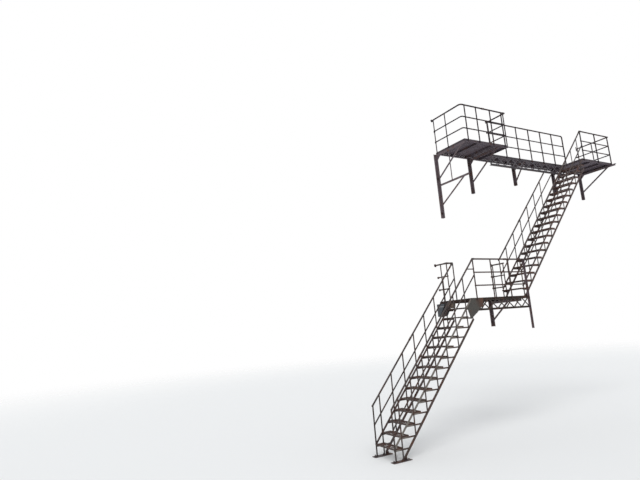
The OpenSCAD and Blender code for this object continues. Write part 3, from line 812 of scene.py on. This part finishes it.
climb = {name: Vector((-flight["run"], 0, -flight["rise"])).normalized() for name, flight in flights.items()}
landingRail = rails["landingFront"]["top"]
corners = [  # where round rails meet, and the ways they leave
    ((stair["walkX"] + pipeOut, outerPipe, rails["balconyFront"]["top"]), ((-1, 0, 0), (0, 1, 0))),
    ((stair["headNewel"], outerPipe, rails["headFront"]["top"]), ((1, 0, 0), climb["upper"])),
    ((stair["landNewel"], outerPipe, landingRail), ((1, 0, 0), climb["lower"])),
    ((stair["landX1"] - pipeOut, innerPipe, landingRail), ((0, 1, 0), (1, 0, 0))),
    ((stair["landNewel"], innerPipe, landingRail), ((-1, 0, 0), climb["lower"])),
]


def makeBall(look):
    bpy.ops.mesh.primitive_uv_sphere_add(segments=look["sides"], ring_count=look["rings"],
                                         radius=look["radius"])
    ball = newest()
    pickFaces(ball, lambda c, n: abs(c.z) < look["radius"] * 0.13)  # the seam of the casting
    bpy.ops.mesh.extrude_region_shrink_fatten(TRANSFORM_OT_shrink_fatten={"value": 0.0009})
    leave()
    return ball


spread(makeBall(cornerBall), "cornerBalls", [shift(*point) for point, ways in corners], "handrail")
spread(makeSleeve(collar), "cornerCollars",
       [spot(Vector(point) + Vector(way) * collar["reach"], way) for point, ways in corners for way in ways],
       "handrail")
walkwayFoot = {"radius": 0.0212, "long": 0.03}
spread(makeSleeve(walkwayFoot), "walkwayFoot",
       [spot(onRail(rails["walkway"], rails["walkway"]["length"], pipeOut, 0.018), (0, 0, 1))], "rail")

# angle cleats that hold the back ends of the middle bars
barCleat = {"wide": 0.050, "tall": 0.046, "out": 0.062, "thick": 0.006, "bolt": dict(footBolt, washer=0.0125)}


def makeBarCleat(look):
    wide, tall, out, thick = (look[key] for key in ("wide", "tall", "out", "thick"))
    plate = makeBlock((wide, tall, thick), (wide / 2, 0, thick / 2), 0.0010)
    arm = makeBlock((thick, tall, out), (thick / 2, 0, out / 2), 0.0010)
    for side in (1, -1):  # the arm's free corners are cut away
        trim(arm, (0, side * tall / 2, out - 0.010), (0, side, 1))
    wallBolt = moved(makeBolt(look["bolt"]), shift(wide * 0.62, 0, thick))
    armBolt = moved(makeBolt(look["bolt"]), shift(thick, 0, out * 0.70) @ quarter("Y"))
    return merge([plate, arm, wallBolt, armBolt])


cleatSpots = []
for name, turn in (("balconyLeft", 0), ("headEnd", 180), ("landingLeft", 0), ("landingRight", 180)):
    rail = rails[name]
    inside = 0.006 if turn == 0 else -0.006
    cleatSpots += [spot((rail["at"][0] + inside, 0, rail["deck"] + rail["height"] * share), turn=turn)
                   for share in railShares]
spread(makeBarCleat(barCleat), "barCleats", cleatSpots, "rail")

# brackets: a corner plate with its packing, and bolts at the ends of the struts
brackets = [  # leg, strut's outer end, strut's foot, where the arm's last bolt is
    {"x": 0.0, "tip": -0.92, "foot": 0.44, "reach": 0.84},
    {"x": 1.17, "tip": -0.92, "foot": 0.44, "reach": 0.83},
    {"x": 2.89, "tip": -0.37, "foot": 0.60, "reach": 0.233},
    {"x": 4.62, "tip": -0.37, "foot": 0.60, "reach": 0.233},
    {"x": 5.94, "tip": -0.93, "foot": 0.51, "reach": 0.84},
]
strut = {"face": 0.0425, "back": 0.0345, "first": 0.028, "second": 0.075, "last": 0.036, "arm": 0.074}
lowArm = {"tip": (0, -0.870, 0.272), "foot": (0, -0.014, -0.25), "corner": (0, -0.036, 0.275),
          "hanger": 0.0475, "hangerY": -0.457, "hangerZ": (0.277, 1.068)}
cornerPlate = {"wide": 0.165, "tall": 0.155, "thick": 0.006, "toe": 0.045, "pack": 0.007,
               "rivets": ((-0.026, -0.030), (-0.080, -0.030), (-0.134, -0.030),
                          (-0.026, -0.078), (-0.026, -0.128))}


def makeCornerPlate(look):
    # lies in the plane of the strut: Y runs out from the legs, Z down from the arm's flange
    wide, tall, toe = look["wide"], look["tall"], look["toe"]
    plate = makeBlock((look["thick"], wide, tall), (look["thick"] / 2, -wide / 2, -tall / 2))
    trim(plate, (0, -toe, -tall), (0, toe - tall, toe - wide))
    roundEdges(plate, 0.0010)
    pack = makeBlock((look["pack"], 0.048, 0.085), (-look["pack"] / 2, -0.036, -0.105), 0.0008)
    return merge([plate, pack] + [moved(makeRivet(barRivet), shift(look["thick"], y, z) @ quarter("Y"))
                                  for y, z in look["rivets"]])


plateSpots, strutSpots, backSpots, armSpots = [], [], [], []
for bracket in brackets:
    x, face, top = bracket["x"], bracket["x"] + strut["face"], stair["armTop"]
    tip, foot = Vector((0, bracket["tip"], top - 0.035)), Vector((0, -0.018, bracket["foot"]))
    down = (foot - tip).normalized()
    plateSpots.append(shift(face, -0.006, top - 0.008))
    holes = [tip + down * strut["first"], tip + down * strut["second"], foot - down * strut["last"]]
    if bracket is brackets[0]:  # the second, lower arm with its strut and its hanger
        tip, foot = Vector(lowArm["tip"]), Vector(lowArm["foot"])
        down = (foot - tip).normalized()
        holes += [tip + down * strut["first"], foot - down * strut["last"], Vector(lowArm["corner"])]
        strutSpots += [spot((x + lowArm["hanger"], lowArm["hangerY"], z), (1, 0, 0))
                       for z in lowArm["hangerZ"]]
    strutSpots += [spot((face, hole.y, hole.z), (1, 0, 0), 31 * n) for n, hole in enumerate(holes)]
    backSpots += [spot((x + strut["back"], hole.y, hole.z), (-1, 0, 0)) for hole in holes[:2]]
    first, last = -0.13, -bracket["reach"]
    armSpots += [spot((x + strut["arm"], y, top - 0.007), (0, 0, -1), 40 * y)
                 for y in (first, (first + last) / 2, last)]
spread(makeCornerPlate(cornerPlate), "cornerPlates", plateSpots, "leg")
spread(makeBolt(footBolt), "strutBolts", strutSpots, "bolt")
spread(makeRivet(barRivet), "strutRivets", backSpots, "leg")
spread(makeBolt(dict(footBolt, studTall=0.007)), "armBolts", armSpots, "bolt")

# rivets through each deck's front bar into its cross bearers, and along the side bars
edgeRivet = dict(barRivet, radius=0.0074, crown=0.66)
sideBars = (  # place, front and back end, level, and the way it looks
    (stair["balconyX"], -0.96, -0.1, stair["gallery"], -1), (stair["endX"], -0.96, -0.1, stair["gallery"], 1),
    (stair["landX1"], -0.36, -0.1, stair["landing"], -1), (stair["landX2"], -0.36, -0.1, stair["landing"], 1))
edgeSpots = []
for x1, x2, depth, z, front in decks.values():
    edgeSpots += [spot((x, front, z - drop)) for x in bearerLines(x1, x2, 0.012) for drop in (0.016, 0.044)]
for x, y1, y2, z, way in sideBars:
    rows = max(2, round((y2 - y1) / 0.17))
    edgeSpots += [spot((x, y1 + i * (y2 - y1) / rows, z - 0.030), (way, 0, 0)) for i in range(rows + 1)]
spread(makeRivet(edgeRivet), "edgeRivets", edgeSpots, "deck")

# splice plates on the chords of the strings, with four rivets each
splice = {"long": 0.190, "thick": 0.006, "rivets": (-0.070, -0.028, 0.028, 0.070)}
spliceRows = {
    "topSplices": {"wide": 0.032, "upper": (2.548, 3.956), "lower": (-1.4625,)},
    "lowSplices": {"wide": 0.042, "upper": (2.196, 3.604), "lower": (-1.8075,)},
}


def makeSplice(look, wide):
    plate = makeBlock((look["long"], wide, look["thick"]), (0, 0, look["thick"] / 2))
    clipCorners(plate, look["long"], wide)
    roundEdges(plate, 0.0008)
    return merge([plate] + [moved(makeRivet(stringRivet), shift(along, 0, look["thick"]))
                            for along in look["rivets"]])


for name, row in spliceRows.items():
    spliceSpots = []
    for key, flight in flights.items():
        below = topChord if name == "topSplices" else flight["chord"]
        lean = Matrix.Rotation(atan2(flight["rise"], flight["run"]), 4, "Z")
        for x in row[key]:
            z = noseAt(flight, x) - below
            spliceSpots.append(spot((x, stair["outer"], z)) @ lean)
            spliceSpots.append(spot((x, stair["innerString"], z), (0, 1, 0)) @ lean.inverted())
    spread(makeSplice(splice, row["wide"]), name, spliceSpots, "upperString")

# short angles that hold the feet of the chords and newels
footCleat = {"long": 0.078, "leg": 0.050, "thick": 0.006, "boltsAt": (-0.021, 0.021), "front": -0.992,
             "back": -0.409}


def makeFootCleat(look):
    long, leg, thick = look["long"], look["leg"], look["thick"]
    base = makeBlock((long, leg, thick), (0, leg / 2, thick / 2), 0.0010)
    web = makeBlock((long, thick, leg), (0, thick / 2, leg / 2), 0.0010)
    bolts = []
    for x in look["boltsAt"]:
        bolts.append(moved(makeBolt(footBolt), shift(x, leg * 0.58, thick)))
        bolts.append(moved(makeRivet(barRivet), shift(x, thick, leg * 0.60) @ quarter("X", -1)))
    return merge([base, web] + bolts)


turned = Matrix.Rotation(radians(180), 4, "Z")
footSpots = []
for x, z in ((-2.612, flights["lower"]["foot"]), (1.425, stair["landing"])):
    footSpots += [shift(x, footCleat["front"], z), shift(x, footCleat["back"], z) @ turned]
spread(makeFootCleat(footCleat), "footCleats", footSpots, "foot")

# rivets of the big joint plates, bolts of the corner post, welds of the plate bracket
plateRivet = {"sides": 12, "radius": 0.0105, "crown": 0.62}
outerHoles = [
    (0.060, -0.030), (0.145, -0.030), (0.235, -0.030), (0.325, -0.030), (-0.122, -0.226), (-0.106, -0.310),
    (-0.078, -0.400), (0.010, -0.352), (0.100, -0.302), (0.190, -0.236), (0.305, -0.160), (-0.040, -0.125),
]
innerHoles = [
    (-0.010, -0.028), (0.085, -0.028), (-0.135, -0.090), (-0.112, -0.155), (0.055, -0.160), (-0.025, -0.160),
]
spread(makeRivet(plateRivet), "plateRivets",
       [spot((stair["landX1"] + x, y, stair["landing"] + z), (0, way, 0))
        for holes, y, way in ((outerHoles, -1.010, -1), (innerHoles, -0.392, 1)) for x, z in holes],
       "plate")
spread(makeBolt(dict(footBolt, washer=0.017, nut=0.0115)), "postCornerBolts",
       [spot((1.457, -1.005, z), turn=20 * z) for z in (-2.662, -2.690, -2.900)], "bolt")
bead = dict(postWeld, long=0.019, wide=0.010, tall=0.010, seed=8)
beadPitch, bracketSides = 0.0145, (-0.5015, -0.2685)
beadSpots = [spot((x, -0.0105, -2.975 + beadPitch * n), turn=90) for x in bracketSides for n in range(18)]
beadSpots += [spot((x, -0.020 - beadPitch * n, -2.7105), (0, 0, -1), 90)
              for x in bracketSides for n in range(15)]
spread(makeWeld(bead), "bracketWelds", beadSpots, "box")
print("parts made")

camera = {"at": (-8.48, -8.8, -3.08), "yaw": 29.301, "pitch": 10.486, "roll": -4.302, "lens": 27.19}


def addCamera(look):
    yaw, pitch, roll = (radians(look[key]) for key in ("yaw", "pitch", "roll"))
    forward = Vector((sin(yaw) * cos(pitch), cos(yaw) * cos(pitch), sin(pitch)))
    level = Vector((cos(yaw), -sin(yaw), 0))
    upward = level.cross(forward)
    right = cos(roll) * level + sin(roll) * upward
    top = -sin(roll) * level + cos(roll) * upward
    data = bpy.data.cameras.new("photoCamera")
    data.lens, data.sensor_width, data.clip_end = look["lens"], 36, 200
    seen = bpy.data.objects.new("photoCamera", data)
    turn = Matrix((right, top, -forward)).transposed().to_4x4()
    seen.matrix_world = Matrix.Translation(look["at"]) @ turn
    scene.collection.objects.link(seen)
    scene.camera = seen


addCamera(camera)
floorLook = {"centre": (1.5, -0.5), "size": 120, "fadeFrom": 12.0, "fadeTo": 34.0,
             "colour": (0.80, 0.80, 0.79, 1)}


def addFloor(look):
    bpy.ops.mesh.primitive_grid_add(x_subdivisions=8, y_subdivisions=8, size=look["size"],
                                    location=(*look["centre"], stair["foot"] - 0.001))
    floor = newest()
    floor.name = "floor"
    applyPlace(floor)
    f = Finish("paleFloor")
    where = f.add("ShaderNodeTexCoord", out="Object")
    away = f.distance(where, (*look["centre"], stair["foot"]))
    f.feed(Base_Color=look["colour"], Roughness=0.85)
    under = f.add("ShaderNodeNewGeometry", out="Backfacing")
    distant = f.rise(away, look["fadeFrom"], look["fadeTo"])
    fade = f.add("ShaderNodeMath", {"operation": "MAXIMUM"}, {0: distant, 1: under})
    clear = f.add("ShaderNodeBsdfTransparent")
    blend = f.add("ShaderNodeMixShader", None, {0: fade, 1: Value(f, f.shader.outputs[0]), 2: clear})
    f.tree.links.new(blend.socket, f.output.inputs["Surface"])
    floor.data.materials.append(f.material)


studio = {"soft": (0.93, 0.96, 1.0, 1), "softness": 0.75, "white": (1, 1, 1, 1)}


def addWorld(look):
    # soft light on the object, and white wherever the background is seen
    world = bpy.data.worlds.new("studio")
    scene.world = world
    world.use_nodes = True
    tree = world.node_tree
    tree.nodes.clear()
    path = tree.nodes.new("ShaderNodeLightPath")
    first, second = (tree.nodes.new("ShaderNodeMath") for _ in range(2))
    first.operation = second.operation = "MAXIMUM"
    soft, white = (tree.nodes.new("ShaderNodeBackground") for _ in range(2))
    soft.inputs[0].default_value, soft.inputs[1].default_value = look["soft"], look["softness"]
    white.inputs[0].default_value, white.inputs[1].default_value = look["white"], 1.0
    blend, out = tree.nodes.new("ShaderNodeMixShader"), tree.nodes.new("ShaderNodeOutputWorld")
    rays = [path.outputs["Is " + kind + " Ray"] for kind in ("Camera", "Glossy", "Transmission")]
    ways = ((rays[0], first, 0), (rays[1], first, 1), (first.outputs[0], second, 0), (rays[2], second, 1),
            (second.outputs[0], blend, 0), (soft.outputs[0], blend, 1), (white.outputs[0], blend, 2),
            (blend.outputs[0], out, "Surface"))
    for socket, node, entry in ways:
        tree.links.new(socket, node.inputs[entry])


sunLook = {"toward": (0.35, 0.55, -1.0), "energy": 1.3, "angle": 35}


def addSun(name, look):
    data = bpy.data.lights.new(name, "SUN")
    data.energy, data.angle = look["energy"], radians(look["angle"])
    sun = bpy.data.objects.new(name, data)
    sun.rotation_euler = Vector(look["toward"]).to_track_quat("-Z", "Y").to_euler()
    scene.collection.objects.link(sun)


addFloor(floorLook)
addWorld(studio)
addSun("highSoftSun", sunLook)
print("camera, light and floor set")
